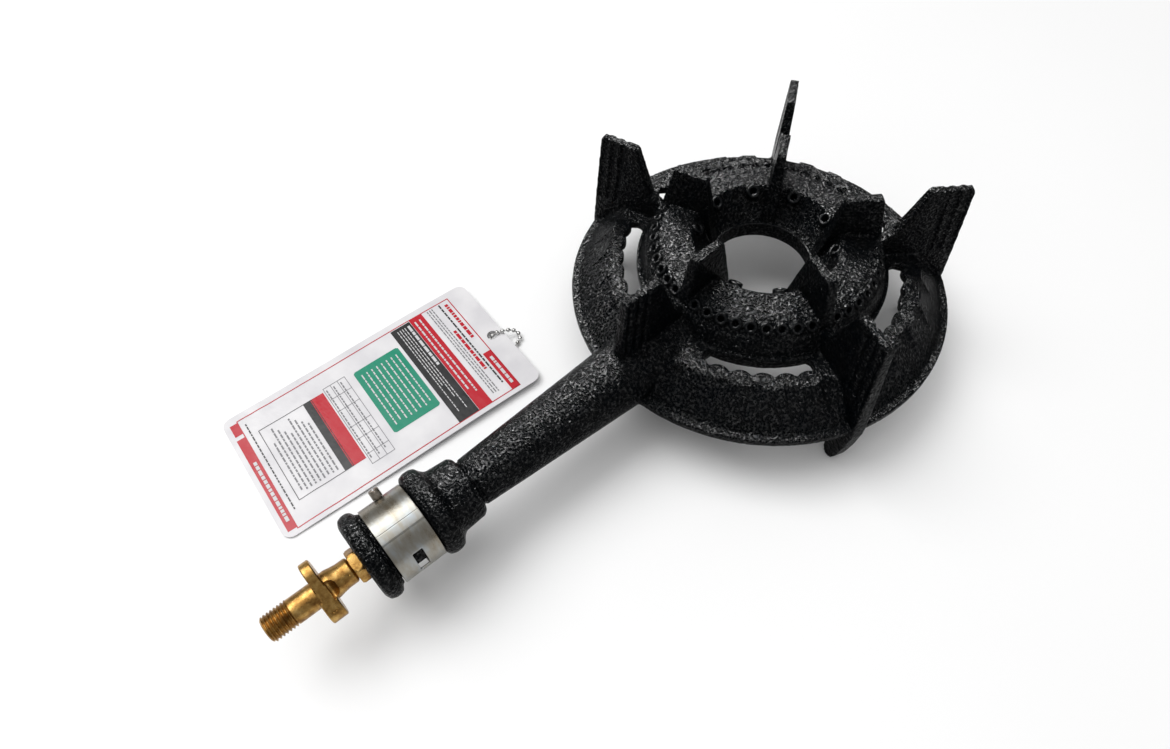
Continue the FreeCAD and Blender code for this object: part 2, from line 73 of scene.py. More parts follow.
# ---------------------------------------------------------------- mesh helpers

def put_mesh(name, bm):
    """Turn a bmesh into a smooth-shaded object in the scene."""
    mesh = bpy.data.meshes.new(name)
    bmesh.ops.recalc_face_normals(bm, faces=bm.faces)
    bm.to_mesh(mesh)
    bm.free()
    mesh.shade_smooth()
    obj = bpy.data.objects.new(name, mesh)
    bpy.context.scene.collection.objects.link(obj)
    return obj


def bake_modifiers(obj):
    """Replace an object's mesh by what its modifiers make of it."""
    depsgraph = bpy.context.evaluated_depsgraph_get()
    mesh = bpy.data.meshes.new_from_object(obj.evaluated_get(depsgraph))
    obj.modifiers.clear()
    obj.data = mesh
    mesh.shade_smooth()
    return obj


def modify(obj, kind, **settings):
    modifier = obj.modifiers.new(kind.lower(), kind)
    for key, value in settings.items():
        setattr(modifier, key, value)
    return modifier


def sweep(bm, rings):
    """Skin a list of equal closed rings of points, and cap both ends."""
    rows = [[bm.verts.new(p) for p in ring] for ring in rings]
    count = len(rows[0])
    for a, b in zip(rows, rows[1:]):
        for i in range(count):
            j = (i + 1) % count
            bm.faces.new((a[i], a[j], b[j], b[i]))
    bm.faces.new(list(reversed(rows[0])))
    bm.faces.new(rows[-1])


def circle_x(x, radius, steps):
    """A ring of points round the mixing tube's axis."""
    ring = []
    for i in range(steps):
        a = 2 * math.pi * i / steps
        ring.append(Vector((x, radius * math.cos(a), AXIS_Z + radius * math.sin(a))))
    return ring


def turned_x(bm, outline, steps=64):
    """A solid of revolution about the tube's axis from (x, r) points."""
    sweep(bm, [circle_x(x, r, steps) for x, r in outline])


def turned_z(bm, outline, steps=96):
    """A ring of revolution about the burner's upright axis from closed (r, z) points."""
    rings = []
    for i in range(steps):
        a = 2 * math.pi * i / steps
        rings.append([Vector((r * math.cos(a), r * math.sin(a), z)) for r, z in outline])
    rows = [[bm.verts.new(p) for p in ring] for ring in rings]
    count = len(outline)
    for k in range(steps):
        a, b = rows[k], rows[(k + 1) % steps]
        for i in range(count):
            j = (i + 1) % count
            bm.faces.new((a[i], a[j], b[j], b[i]))


# ------------------------------------------------------------ material helpers

def new_material(name, **sockets):
    """A Principled material; sockets are given by name with _ for a space."""
    mat = bpy.data.materials.new(name)
    mat.use_nodes = True
    shader = mat.node_tree.nodes["Principled BSDF"]
    for key, value in sockets.items():
        shader.inputs[key.replace("_", " ")].default_value = value
    return mat


def shader_of(mat):
    return mat.node_tree.nodes["Principled BSDF"]


def add_node(mat, kind, **values):
    """Add a node; values are its properties, or its sockets if it has none so named."""
    node = mat.node_tree.nodes.new(kind)
    for key, value in values.items():
        if hasattr(node, key):
            setattr(node, key, value)
        else:
            node.inputs[key.replace("_", " ")].default_value = value
    return node


def link(mat, output, target):
    mat.node_tree.links.new(output, target)


def coordinates(mat):
    return add_node(mat, "ShaderNodeTexCoord").outputs["Object"]


def noise(mat, where, scale, detail=2.0, rough=0.5, stretch=None):
    """Noise at a scale per metre, which may be stretched along an axis."""
    if stretch:
        mapping = add_node(mat, "ShaderNodeMapping")
        mapping.inputs["Scale"].default_value = stretch
        link(mat, where, mapping.inputs["Vector"])
        where = mapping.outputs["Vector"]
    node = add_node(mat, "ShaderNodeTexNoise")
    node.inputs["Scale"].default_value = scale
    node.inputs["Detail"].default_value = detail
    node.inputs["Roughness"].default_value = rough
    link(mat, where, node.inputs["Vector"])
    return node.outputs["Fac"]


def ramp(mat, value, stops):
    """A colour ramp from (position, colour) stops."""
    node = add_node(mat, "ShaderNodeValToRGB")
    elements = node.color_ramp.elements
    while len(elements) < len(stops):
        elements.new(0.5)
    for element, (position, colour) in zip(elements, stops):
        element.position = position
        element.color = (*colour, 1.0)
    link(mat, value, node.inputs["Fac"])
    return node.outputs["Color"]


def spread(mat, value, low, high):
    """Map 0.3 to 0.7 onto low to high."""
    node = add_node(mat, "ShaderNodeMapRange")
    for key, number in zip(("From Min", "From Max", "To Min", "To Max"), (0.3, 0.7, low, high)):
        node.inputs[key].default_value = number
    link(mat, value, node.inputs["Value"])
    return node.outputs["Result"]


def bump(mat, height, distance, strength=1.0, normal=None):
    node = add_node(mat, "ShaderNodeBump")
    node.inputs["Strength"].default_value = strength
    node.inputs["Distance"].default_value = distance
    link(mat, height, node.inputs["Height"])
    if normal:
        link(mat, normal, node.inputs["Normal"])
    return node.outputs["Normal"]


# ------------------------------------------------------------------- materials

def enamel(name, sand_depth, low, high):
    """Black paint over sandy iron: the gloss coat shows most where grains stand up."""
    mat = new_material(name, Coat_Roughness=0.15, Coat_IOR=1.5, Specular_IOR_Level=0.012)
    where = coordinates(mat)
    shader = shader_of(mat)
    tint = noise(mat, where, 140.0, 3.0)
    colour = ramp(mat, tint, [(0.3, (0.0004, 0.0009, 0.0015)), (0.7, (0.0020, 0.0022, 0.0024))])
    link(mat, colour, shader.inputs["Base Color"])
    link(mat, spread(mat, noise(mat, where, 260.0, 2.0), 0.15, 0.25), shader.inputs["Roughness"])
    sand = noise(mat, where, 780.0, 2.0, 0.55)
    gloss = ramp(mat, sand, [(0.40, (low, low, low)), (0.54, (0.085, 0.085, 0.085)),
                             (0.66, (high, high, high))])
    link(mat, gloss, shader.inputs["Coat Weight"])
    grain = bump(mat, sand, sand_depth)
    fine = bump(mat, noise(mat, where, 1400.0, 1.0), 0.0003, normal=grain)
    link(mat, fine, shader.inputs["Normal"])
    link(mat, fine, shader.inputs["Coat Normal"])
    return mat


def brass():
    mat = new_material("brass", Metallic=1.0)
    where = coordinates(mat)
    shader = shader_of(mat)
    stain = noise(mat, where, 300.0, 4.0, 0.6)
    colour = ramp(mat, stain, [(0.3, (0.15, 0.07, 0.018)), (0.5, (0.33, 0.185, 0.052)),
                               (0.7, (0.50, 0.32, 0.11))])
    link(mat, colour, shader.inputs["Base Color"])
    link(mat, spread(mat, noise(mat, where, 500.0, 3.0), 0.22, 0.40), shader.inputs["Roughness"])
    link(mat, bump(mat, noise(mat, where, 1500.0, 3.0), 0.00006), shader.inputs["Normal"])
    return mat


def zinc():
    mat = new_material("zinc_plate", Metallic=1.0)
    where = coordinates(mat)
    shader = shader_of(mat)
    smear = noise(mat, where, 160.0, 4.0, 0.6, stretch=(1.0, 0.35, 0.35))
    colour = ramp(mat, smear, [(0.3, (0.21, 0.18, 0.135)), (0.5, (0.28, 0.27, 0.24)),
                               (0.68, (0.33, 0.355, 0.37))])
    link(mat, colour, shader.inputs["Base Color"])
    link(mat, spread(mat, smear, 0.24, 0.38), shader.inputs["Roughness"])
    link(mat, bump(mat, noise(mat, where, 900.0, 3.0), 0.00004), shader.inputs["Normal"])
    return mat


def dull_steel():
    mat = new_material("dull_steel", Metallic=1.0)
    where = coordinates(mat)
    shader = shader_of(mat)
    stain = noise(mat, where, 500.0, 3.0)
    colour = ramp(mat, stain, [(0.3, (0.16, 0.13, 0.10)), (0.7, (0.42, 0.38, 0.33))])
    link(mat, colour, shader.inputs["Base Color"])
    link(mat, spread(mat, stain, 0.34, 0.52), shader.inputs["Roughness"])
    link(mat, bump(mat, stain, 0.00005), shader.inputs["Normal"])
    return mat


def chain_steel():
    mat = new_material("plated_chain", Metallic=1.0)
    where = coordinates(mat)
    shader = shader_of(mat)
    stain = noise(mat, where, 700.0, 3.0)
    colour = ramp(mat, stain, [(0.3, (0.22, 0.21, 0.20)), (0.6, (0.70, 0.70, 0.69))])
    link(mat, colour, shader.inputs["Base Color"])
    link(mat, spread(mat, stain, 0.18, 0.34), shader.inputs["Roughness"])
    link(mat, bump(mat, stain, 0.00003), shader.inputs["Normal"])
    return mat


# x where the film starts to wear, x where it is most worn, and its gloss at each
FILM_GLOSS = (-0.185, -0.245, 0.12, 0.45)


def laminate(mat, crinkle):
    """A crinkled film over a print, glossier towards its worn end."""
    where = coordinates(mat)
    shader = shader_of(mat)
    shader.inputs["Coat Roughness"].default_value = 0.2
    shader.inputs["Specular IOR Level"].default_value = 0.2
    apart = add_node(mat, "ShaderNodeSeparateXYZ")
    link(mat, where, apart.inputs[0])
    reach = add_node(mat, "ShaderNodeMapRange")
    for key, number in zip(("From Min", "From Max", "To Min", "To Max"), FILM_GLOSS):
        reach.inputs[key].default_value = number
    link(mat, apart.outputs[0], reach.inputs["Value"])
    link(mat, reach.outputs["Result"], shader.inputs["Coat Weight"])
    wrinkle = noise(mat, where, 150.0, 3.0, 0.6, stretch=(1.0, 0.45, 1.0))
    fine = bump(mat, wrinkle, 0.0009, crinkle)
    link(mat, fine, shader.inputs["Coat Normal"])
    link(mat, spread(mat, noise(mat, where, 220.0, 2.0), 0.34, 0.5), shader.inputs["Roughness"])


def card():
    mat = new_material("printed_card")
    where = coordinates(mat)
    grain = noise(mat, where, 60.0, 3.0)
    colour = ramp(mat, grain, [(0.3, (0.60, 0.59, 0.61)), (0.7, (0.71, 0.70, 0.71))])
    link(mat, colour, shader_of(mat).inputs["Base Color"])
    laminate(mat, 0.7)
    return mat


def ink(name, colour):
    """A printed colour, slightly uneven, under the film."""
    mat = new_material(name)
    worn = noise(mat, coordinates(mat), 240.0, 4.0, 0.6)
    pale = tuple(c + 0.02 * (0.6 - c) for c in colour)
    tint = ramp(mat, worn, [(0.35, colour), (0.75, pale)])
    link(mat, tint, shader_of(mat).inputs["Base Color"])
    laminate(mat, 0.6)
    return mat


def floor_finish():
    mat = new_material("floor", Roughness=0.9)
    shader = shader_of(mat)
    shader.inputs["Specular IOR Level"].default_value = 0.1
    grain = noise(mat, coordinates(mat), 3.0, 2.0)
    colour = ramp(mat, grain, [(0.3, (0.88, 0.88, 0.88)), (0.7, (0.90, 0.90, 0.90))])
    link(mat, colour, shader.inputs["Base Color"])
    return mat


# --------------------------------------------------------------------- casting

IRON = [n for n, o in NODES.items() if n.startswith(
    ("burner_ring", "skirt_", "outer_", "inner_", "mixing_", "bell_", "shutter_cage",
     "cage_", "end_cap"))]
VOXEL = 0.5 * MM
SAND_SIZE = 3 * MM
SAND_HEIGHT = 0.16 * MM
RING_EDGE_R = 61.4 * MM
TUBE_START_X = -96 * MM


def chamber_fill(bm):
    """Fill the ring's chamber, so that only the ports' mouths stay open."""
    outline = [(28.4, 42.1), (28.4, 48.7), (34.6, 57.6), (37.4, 63.7), (49.0, 62.7),
               (51.4, 61.3), (53.8, 58.5), (57.0, 50.6), (55.8, 42.1)]
    turned_z(bm, [(r * MM, z * MM) for r, z in outline])


def bore_fill(bm):
    """Fill the mixing tube's bore behind its mouth."""
    turned_x(bm, [(TUBE_X0 + 9 * MM, 9.4 * MM), (-36 * MM, 16.4 * MM)])


def press(mesh, place, radius, depth):
    """Push the skin in around a place, as a small pit in the casting."""
    centre = Vector(place)
    for v in mesh.vertices:
        away = (v.co - centre).length / radius
        if away < 1.0:
            v.co -= v.normal * depth * (1.0 - away * away) ** 0.7


def clamp_to_cad(mesh):
    """Keep the roughened skin inside the designed box."""
    low, high = CAD_BOX
    for v in mesh.vertices:
        for k in range(3):
            v.co[k] = min(max(v.co[k], low[k]), high[k])


def split_casting(obj):
    """Share the casting out between ring, skirt and tube, to keep each mesh small."""
    def region(c):
        if c.x < TUBE_START_X:
            return 2
        return 0 if math.hypot(c.x, c.y) < RING_EDGE_R else 1
    names = ("casting_ring", "casting_skirt", "casting_tube")
    pieces = []
    for part, name in enumerate(names):
        bm = bmesh.new()
        bm.from_mesh(obj.data)
        gone = [f for f in bm.faces if region(f.calc_center_median()) != part]
        bmesh.ops.delete(bm, geom=gone, context="FACES")
        mesh = bpy.data.meshes.new(name)
        bm.to_mesh(mesh)
        bm.free()
        mesh.shade_smooth()
        piece = bpy.data.objects.new(name, mesh)
        bpy.context.scene.collection.objects.link(piece)
        pieces.append(piece)
    bpy.data.objects.remove(obj)
    return pieces


def home_of(name):
    """Which part of the casting a CAD node turns into."""
    if name.startswith(("burner_ring", "inner_")):
        return 0
    return 1 if name.startswith(("skirt_", "outer_")) else 2


def casting():
    bm = bmesh.new()
    for name in IRON:
        bm.from_mesh(NODES[name].data)
    bmesh.ops.remove_doubles(bm, verts=bm.verts, dist=1e-6)
    chamber_fill(bm)
    bore_fill(bm)
    obj = put_mesh("casting", bm)
    modify(obj, "REMESH", mode="VOXEL", voxel_size=VOXEL)
    modify(obj, "SMOOTH", factor=0.5, iterations=4)
    clouds = bpy.data.textures.new("sand", "CLOUDS")
    clouds.noise_scale = SAND_SIZE
    clouds.noise_depth = 2
    modify(obj, "DISPLACE", texture=clouds, texture_coords="LOCAL", strength=SAND_HEIGHT,
           mid_level=0.5)
    modify(obj, "DECIMATE", ratio=0.45)
    bake_modifiers(obj)
    pit = (CAP_BACK + 5.0 * MM, -13.2 * MM, AXIS_Z + 15.4 * MM)
    press(obj.data, pit, 2.2 * MM, 1.0 * MM)
    clamp_to_cad(obj.data)
    paint = enamel("black_enamel", 0.0011, 0.006, 0.40)
    pieces = split_casting(obj)
    for part, piece in enumerate(pieces):
        piece.data.materials.clear()
        piece.data.materials.append(paint)
        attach(piece, "burner")
        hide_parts(*[n for n in IRON if home_of(n) == part])
    return pieces + [gas_hole_bosses(enamel("boss_enamel", 0.0003, 0.14, 0.26))]


PORTS = 9
PORT_R, PORT_Z, PORT_TILT, PORT_STEP = 54.2 * MM, 64.2 * MM, 45.0, 7.34
JET_R, JET_Z, JET_TILT, JET_OFF = 33.0 * MM, 64.9 * MM, 130.0, 18.0


def raised_mouths(bm, r0, z0, tilt, turn, outline):
    """A ring boss round one gas hole, turned about its own slanted line."""
    out = Vector((math.cos(turn), math.sin(turn), 0))
    line = out * math.cos(tilt) + Vector((0, 0, math.sin(tilt)))
    side = Vector((-math.sin(turn), math.cos(turn), 0))
    up = line.cross(side)
    centre = out * r0 + Vector((0, 0, z0))
    steps = 24
    rows = []
    for i in range(steps):
        a = 2 * math.pi * i / steps
        spoke = side * math.cos(a) + up * math.sin(a)
        rows.append([bm.verts.new(centre + spoke * r * MM + line * h * MM) for r, h in outline])
    for k in range(steps):
        a, b = rows[k], rows[(k + 1) % steps]
        for i in range(len(outline)):
            j = (i + 1) % len(outline)
            bm.faces.new((a[i], a[j], b[j], b[i]))


def gas_hole_bosses(paint):
    """Crisp raised rings round the 45 flame ports and 10 jets, and the centre hole's bead."""
    bead = [(24.5, 49.4), (24.45, 50.4), (24.8, 50.8), (25.3, 50.8), (25.8, 50.3), (26.0, 49.4)]
    port = [(2.7, -2.6), (3.0, -0.4), (2.95, 0.2), (2.6, 0.5), (1.9, 0.5), (1.5, 0.25),
            (1.38, -0.6), (1.38, -2.6)]
    jet = [(3.2, -3.6), (3.45, -0.7), (3.35, 0.9), (2.95, 1.25), (2.1, 1.25), (1.6, 0.9),
           (1.4, 0.0), (1.4, -3.6)]
    bm = bmesh.new()
    for k in range(SECTORS):
        middle = 180.0 - PITCH * (k + 0.5)
        for i in range(PORTS):
            a = math.radians(middle + (i - PORTS // 2) * PORT_STEP)
            raised_mouths(bm, PORT_R, PORT_Z, math.radians(PORT_TILT), a, port)
        for side in (-1, 1):
            a = math.radians(middle + side * JET_OFF)
            raised_mouths(bm, JET_R, JET_Z, math.radians(JET_TILT), a, jet)
    turned_z(bm, [(r * MM, z * MM) for r, z in bead], 128)
    obj = put_mesh("gas_hole_bosses", bm)
    finish_piece(obj, "burner", "black_iron", paint)
    return obj


# ------------------------------------------------------------- fine metal pieces

def finish_piece(obj, body, slot, material, *nodes):
    obj.data.materials.clear()
    obj.data.materials.append(material)
    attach(obj, body)
    if nodes:
        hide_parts(*nodes)


def resurface(name, bm, voxel, smooth, keep):
    """Fuse closed parts into one skin with softly rounded edges."""
    obj = put_mesh(name, bm)
    modify(obj, "REMESH", mode="VOXEL", voxel_size=voxel)
    modify(obj, "SMOOTH", factor=0.5, iterations=smooth)
    modify(obj, "DECIMATE", ratio=keep)
    return bake_modifiers(obj)


def node_copy(name):
    bm = bmesh.new()
    bm.from_mesh(NODES[name].data)
    bmesh.ops.remove_doubles(bm, verts=bm.verts, dist=1e-7)
    return bm


def cutaway(obj, cutter):
    """Cut a closed mesh out of an object."""
    modify(obj, "BOOLEAN", operation="DIFFERENCE", object=cutter, solver="EXACT")
    bake_modifiers(obj)
    bpy.data.objects.remove(cutter)


def side_line(degrees):
    a = math.radians(degrees)
    return Vector((0, math.cos(a), math.sin(a)))


EAR_AZ = 43.0
EAR_X = -250.6 * MM
THREAD_X = -266.5 * MM
THREAD_PITCH = 1.5 * MM
# the crescent cut beside the bar, as (distance behind the bar, radius) in mm
SPOT_FACE = ((0.02, 5.2), (1.6, 4.9), (3.0, 4.1), (3.8, 2.8))


def inlet_profile():
    """The turned barrel, its forged flare and its groove, as (x, r) in metres."""
    rows = [(THREAD_X - 1 * MM, 4.9), (THREAD_X, 4.9), (THREAD_X, 5.6), (THREAD_X + 0.3 * MM, 5.75)]
    rows += [(EAR_X - 4.6 * MM, 5.7), (EAR_X - 0.4 * MM, 5.8), (EAR_X + 0.2 * MM, 6.5)]
    rows += [(EAR_X + 2.0 * MM, 6.6), (EAR_X + 4.5 * MM, 6.1)]
    rows += [(EAR_X + 7.2 * MM, 5.75), (NUT_X0 - 1.1 * MM, 5.75), (NUT_X0 - 0.6 * MM, 5.3)]
    rows += [(NUT_X0 - 0.5 * MM, 4.7), (NUT_X0 + 3 * MM, 4.7)]
    return [(x, r * MM) for x, r in rows]


def ear_bar(bm):
    """A bar with two round ends across the barrel; its lower end is thicker."""
    line = side_line(EAR_AZ)
    side = side_line(EAR_AZ + 90.0)
    middle = Vector((0, 0, AXIS_Z))

    def slab(x0, x1, reach0, reach1, radius):
        rings = []
        for x, r in ((x0, radius - 0.5 * MM), (x0 + 0.4 * MM, radius), (x1 - 0.4 * MM, radius),
                     (x1, radius - 0.5 * MM)):
            ring = []
            for i in range(64):
                a = 2 * math.pi * i / 64
                far = reach1 if math.cos(a) > 0 else reach0
                where = line * (far + r * math.cos(a)) + side * r * math.sin(a)
                ring.append(middle + where + Vector((x, 0, 0)))
            rings.append(ring)
        sweep(bm, rings)

    slab(EAR_X - 4.5 * MM, EAR_X, -8.2 * MM, 8.2 * MM, 6.0 * MM)
    slab(EAR_X - 5.9 * MM, EAR_X + 1.0 * MM, -8.3 * MM, -4.6 * MM, 5.95 * MM)


def ball(bm, centre, radius):
    found = bmesh.ops.create_icosphere(bm, subdivisions=3, radius=radius)
    bmesh.ops.translate(bm, verts=found["verts"], vec=centre)


def inlet_body(material):
    bm = bmesh.new()
    turned_x(bm, inlet_profile(), 96)
    ear_bar(bm)
    obj = resurface("gas_inlet_body", bm, 0.2 * MM, 3, 0.6)
    side = side_line(EAR_AZ + 90.0)
    line = side_line(EAR_AZ)
    bm = bmesh.new()
    at = side * 8.1 * MM
    rings = []
    for x, r in SPOT_FACE:
        rings.append([p + at for p in circle_x(EAR_X + x * MM, r * MM, 64)])
    sweep(bm, rings)
    cutaway(obj, put_mesh("spot_face", bm))
    bm = bmesh.new()
    for x in (-3.3, -2.0):
        spot = Vector((EAR_X + x * MM, 0, AXIS_Z)) - line * 8.3 * MM + side * 6.1 * MM
        ball(bm, spot, 0.55 * MM)
    notch = Vector((NUT_X0 - 2.6 * MM, 0, AXIS_Z)) + side_line(128.0) * 6.1 * MM
    ball(bm, notch, 0.6 * MM)
    cutaway(obj, put_mesh("dimples", bm))
    obj.data.shade_smooth()
    finish_piece(obj, "burner", "brass", material, "gas_inlet")


def inlet_thread(material):
    """The male thread as a helix, with a chamfered start and a bored end."""
    crest = 6.0 * MM
    depth = 0.82 * MM
    rings = []
    length = THREAD_X + 0.2 * MM - INLET_X0
    rows = 150
    steps = 96
    bm = bmesh.new()
    for i in range(rows + 1):
        x = INLET_X0 + length * i / rows
        limit = 4.95 * MM + min((x - INLET_X0) * 1.1, 2 * MM)
        ring = []
        for k in range(steps):
            a = 2 * math.pi * k / steps
            phase = ((x - INLET_X0) / THREAD_PITCH + k / steps) % 1.0
            tooth = abs(phase - 0.5) * 2.0
            tooth = min(max((tooth - 0.08) / 0.80, 0.0), 1.0)
            r = min(crest - depth * tooth, limit)
            ring.append(Vector((x, r * math.cos(a), AXIS_Z + r * math.sin(a))))
        rings.append(ring)
    mouth = [circle_x(INLET_X0, 3.5 * MM, steps), circle_x(INLET_X0 + 0.5 * MM, 2.9 * MM, steps),
             circle_x(INLET_X0 + 9 * MM, 2.9 * MM, steps)]
    mouth.reverse()
    sweep(bm, mouth + rings)
    obj = put_mesh("gas_inlet_thread", bm)
    finish_piece(obj, "burner", "brass", material)


def hexagon_nut(material):
    """A chamfered hexagon, with a dark groove left between it and the barrel."""
    x1 = CAP_BACK
    flat = 7.0 * MM
    corner = flat / math.cos(math.radians(30.0))
    rows = [(NUT_X0, 0.90), (NUT_X0 + 0.05 * MM, 0.91), (NUT_X0 + 0.9 * MM, 1.02),
            (x1 - 0.7 * MM, 1.02), (x1 - 0.1 * MM, 0.95), (x1, 0.94)]
    bm = bmesh.new()
    steps = 120
    rings = []
    for x, part in rows:
        ring = []
        for k in range(steps):
            degrees = 360.0 * k / steps
            off = (degrees - 13.0) % 60.0 - 30.0
            r = min(flat / math.cos(math.radians(off)), corner * part, corner * 0.985)
            ring.append(Vector((x, 0, AXIS_Z)) + side_line(degrees) * r)
        rings.append(ring)
    sweep(bm, rings)
    obj = put_mesh("lock_nut_hexagon", bm)
    obj.data.set_sharp_from_angle(angle=math.radians(24.0))
    finish_piece(obj, "burner", "brass", material, "lock_nut")


def shutter_piece(material):
    obj = resurface("shutter_sleeve", node_copy("air_shutter"), 0.22 * MM, 2, 0.5)
    finish_piece(obj, "air_shutter", "zinc_sheet", material, "air_shutter")


def screw_piece(material):
    obj = resurface("shutter_screw_slotted", node_copy("shutter_screw"), 0.1 * MM, 2, 0.5)
    finish_piece(obj, "shutter_screw", "screw_steel", material, "shutter_screw")


def chain_pieces(material):
    chain = resurface("ball_chain", node_copy("bead_chain"), 0.12 * MM, 2, 0.5)
    finish_piece(chain, "loose_tag", "chain_steel", material, "bead_chain")
    clip = resurface("chain_clip", node_copy("chain_coupling"), 0.12 * MM, 3, 0.5)
    low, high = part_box("chain_coupling")
    middle = (low + high) / 2
    bm = bmesh.new()
    for side in (-1, 1):
        ball(bm, middle + Vector((side * 2.2 * MM, 0, 1.55 * MM)), 0.75 * MM)
    cutaway(clip, put_mesh("clip_windows", bm))
    clip.data.shade_smooth()
    finish_piece(clip, "loose_tag", "chain_steel", material, "chain_coupling")


# --------------------------------------------------------------------- hang tag

# the tag is drawn square to the axes, then turned and set down where CAD put it
TAG_T = 0.6 * MM
TAG_LIFT = TAG_BOX[1].z - TAG_T
TAG_CORNER = 5 * MM
TAG_TURN = -2.7
TAG_LOW = Vector((-256.0, 43.5, 0.0)) * MM
TAG_HIGH = Vector((-107.5, 124.5, 0.0)) * MM
HOLE = Vector((TAG_HIGH.x - 6 * MM, TAG_LOW.y + 39 * MM, 0))
HOLE_R = 3 * MM


def set_down(obj):
    """Move a drawn part of the tag to its place on the floor."""
    drawn = (TAG_LOW + TAG_HIGH) / 2
    placed = (TAG_BOX[0] + TAG_BOX[1]) / 2
    placed.z = 0.0
    turn = Matrix.Rotation(math.radians(TAG_TURN), 4, "Z")
    obj.data.transform(Matrix.Translation(placed) @ turn @ Matrix.Translation(-drawn))


def tag_skin(x, y):
    """Height of the tag's top face: it rides up over the chain and is a bit crinkled."""
    t = (x - TAG_LOW.x) / (TAG_HIGH.x - 22 * MM - TAG_LOW.x)
    t = max(0.0, min(1.0, t))
    worn = max(0.0, min(1.0, (-195 * MM - x) / (40 * MM)))
    crease = noise_field.noise(Vector((x * 140, y * 60, 0.3)))
    fine = noise_field.noise(Vector((x * 260, y * 150, 2.0)))
    rough = (0.5 + 0.5 * crease) * 0.35 + (0.5 + 0.5 * fine) * 0.12
    wave = 0.10 * (1.0 + noise_field.noise(Vector((x * 40, y * 45, 5.0))))
    return TAG_LIFT * t * t * (3 - 2 * t) + TAG_T + (1.7 * rough * worn + wave) * MM * (1 - 0.8 * t)


def tag_outline(radius):
    """The tag's round-cornered outline as (x, y) points."""
    x0, x1 = TAG_LOW.x, TAG_HIGH.x
    y0, y1 = TAG_LOW.y, TAG_HIGH.y
    steps = 10
    points = []
    for cx, cy, start in ((x1 - radius, y1 - radius, 0), (x0 + radius, y1 - radius, 90),
                          (x0 + radius, y0 + radius, 180), (x1 - radius, y0 + radius, 270)):
        for i in range(steps + 1):
            a = math.radians(start + 90.0 * i / steps)
            points.append((cx + radius * math.cos(a), cy + radius * math.sin(a)))
    return points


def prism(name, points, low, high):
    bm = bmesh.new()
    sweep(bm, [[Vector((x, y, low)) for x, y in points], [Vector((x, y, high)) for x, y in points]])
    return put_mesh(name, bm)


def tag_sheet(material):
    nx, ny = 130, 72
    bm = bmesh.new()
    grid = []
    for i in range(nx + 1):
        x = TAG_LOW.x + (TAG_HIGH.x - TAG_LOW.x) * i / nx
        row = []
        for k in range(ny + 1):
            y = TAG_LOW.y + (TAG_HIGH.y - TAG_LOW.y) * k / ny
            z = tag_skin(x, y)
            row.append((bm.verts.new((x, y, z)), bm.verts.new((x, y, max(z - TAG_T, 0.0)))))
        grid.append(row)
    for i in range(nx):
        for k in range(ny):
            a, b, c, d = grid[i][k], grid[i + 1][k], grid[i + 1][k + 1], grid[i][k + 1]
            bm.faces.new((a[0], b[0], c[0], d[0]))
            bm.faces.new((d[1], c[1], b[1], a[1]))
    edge = [grid[i][0] for i in range(nx)] + [grid[nx][k] for k in range(ny)]
    edge += [grid[i][ny] for i in range(nx, 0, -1)] + [grid[0][k] for k in range(ny, 0, -1)]
    for a, b in zip(edge, edge[1:] + edge[:1]):
        bm.faces.new((a[0], a[1], b[1], b[0]))
    obj = put_mesh("tag_card", bm)
    blank = prism("tag_blank", tag_outline(TAG_CORNER), -5 * MM, 15 * MM)
    modify(obj, "BOOLEAN", operation="INTERSECT", object=blank, solver="EXACT")
    bake_modifiers(obj)
    bpy.data.objects.remove(blank)
    ring = []
    for i in range(32):
        a = 2 * math.pi * i / 32
        ring.append((HOLE.x + HOLE_R * math.cos(a), HOLE.y + HOLE_R * math.sin(a)))
    cutaway(obj, prism("tag_punch", ring, -5 * MM, 15 * MM))
    obj.data.set_sharp_from_angle(angle=math.radians(40.0))
    set_down(obj)
    finish_piece(obj, "loose_tag", "laminate", material, "hang_tag")


class Print:
    """Thin printed patches of one ink, which follow the tag's face."""

    def __init__(self, name, level):
        self.name = name
        self.level = level * MM
        self.bm = bmesh.new()

    def patch(self, x0, x1, y0, y1, corner=0.0):
        x0, x1, y0, y1, corner = x0 * MM, x1 * MM, y0 * MM, y1 * MM, corner * MM
        nx = max(1, math.ceil((x1 - x0) / (1.6 * MM)))
        ny = max(1, math.ceil((y1 - y0) / (2.0 * MM)))
        if corner:
            nx = max(nx, 24)
        rows = []
        for i in range(nx + 1):
            x = x0 + (x1 - x0) * i / nx
            near = min(x - x0, x1 - x)
            cut = 0.0
            if near < corner:
                cut = corner - math.sqrt(max(corner ** 2 - (corner - near) ** 2, 0.0))
            row = []
            for k in range(ny + 1):
                y = y0 + cut + (y1 - y0 - 2 * cut) * k / ny
                row.append(self.bm.verts.new((x, y, tag_skin(x, y) + self.level)))
            rows.append(row)
        for a, b in zip(rows, rows[1:]):
            for k in range(ny):
                self.bm.faces.new((a[k], b[k], b[k + 1], a[k + 1]))

    def frame(self, x0, x1, y0, y1, width):
        self.patch(x0, x1, y0, y0 + width)
        self.patch(x0, x1, y1 - width, y1)
        self.patch(x0, x0 + width, y0 + width, y1 - width)
        self.patch(x1 - width, x1, y0 + width, y1 - width)

    def dashes(self, dice, x, width, y0, y1, longest):
        """A row of short plain bars of uneven lengths, with even gaps."""
        y = y1
        while y - 1.0 > y0:
            step = min(dice.uniform(1.2, longest), y - y0)
            self.patch(x, x + width, y - step, y)
            y -= step + 0.55

    def done(self, material):
        obj = put_mesh(self.name, self.bm)
        set_down(obj)
        finish_piece(obj, "loose_tag", "laminate", material)


